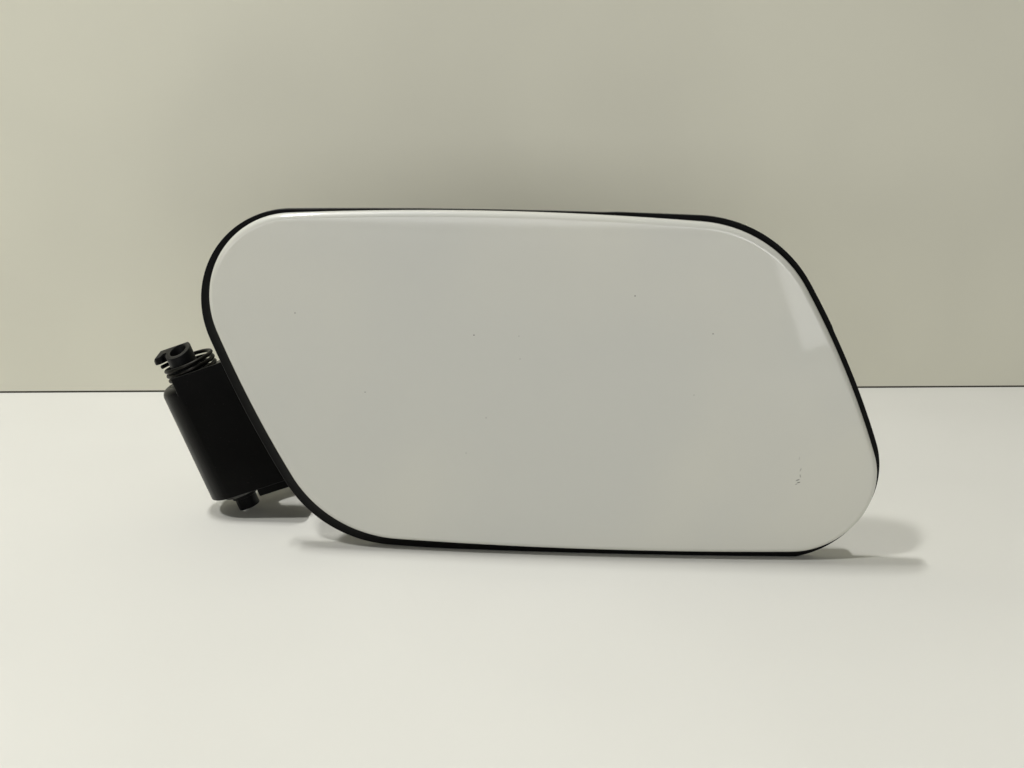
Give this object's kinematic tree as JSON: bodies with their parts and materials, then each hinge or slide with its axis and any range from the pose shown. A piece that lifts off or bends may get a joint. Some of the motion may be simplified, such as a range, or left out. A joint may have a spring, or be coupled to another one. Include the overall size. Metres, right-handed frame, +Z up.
{
  "type": "fuel filler flap",
  "caption": "Hinged fuel filler flap: crowned painted skin on a black carrier, gooseneck arm on a hollow spindle with a torsion spring.",
  "frame": {"origin": "middle of the bore through the hinge spindle", "axes": "+X along the flap away from the hinge, +Y into the car through the flap, +Z up with the flap standing on its lower edge; the hinge line leans 20.5 degrees from +Z towards -X"},
  "size_m": [0.2492, 0.0758, 0.1152],
  "materials": {
    "paint": "body colour, a light grey gloss paint with clear coat on moulded plastic",
    "carrier_black": "black moulded plastic, satin",
    "arm_black": "black moulded plastic, slightly glossy",
    "spindle_black": "dark moulded plastic, dusty",
    "bush_grey": "self-lubricating plastic",
    "spring_steel": "phosphated spring wire",
    "zinc_steel": "zinc plated",
    "screw_black": "black plated",
    "rubber_black": "matt rubber"
  },
  "bodies": {
    "hinge_base": {"hinge_spindle": "spindle_black", "thrust_washer": "zinc_steel", "retaining_ring": "zinc_steel", "torsion_spring": "spring_steel"},
    "flap": {"outer_skin": "paint", "inner_carrier": "carrier_black", "hinge_arm": "arm_black", "bush_upper": "bush_grey", "bush_lower": "bush_grey", "latch_striker": "arm_black", "cap_holder": "arm_black", "holder_screw": "screw_black", "arm_screw_1": "screw_black", "buffer_1": "rubber_black", "arm_screw_2": "screw_black", "buffer_2": "rubber_black", "arm_screw_3": "screw_black", "buffer_3": "rubber_black", "arm_screw_4": "screw_black", "buffer_4": "rubber_black", "striker_screw_1": "screw_black", "striker_screw_2": "screw_black"}
  },
  "joints": [
    {"name": "flap_swing", "type": "hinge", "parent": "hinge_base", "child": "flap", "pos_m": [0, 0, 0], "axis": [0.3502, 0, -0.9367], "range_deg": [0, 85], "stiffness_Nm_per_rad": 0.05, "springref_deg": -2.86, "deforming": ["torsion_spring"]}
  ]
}
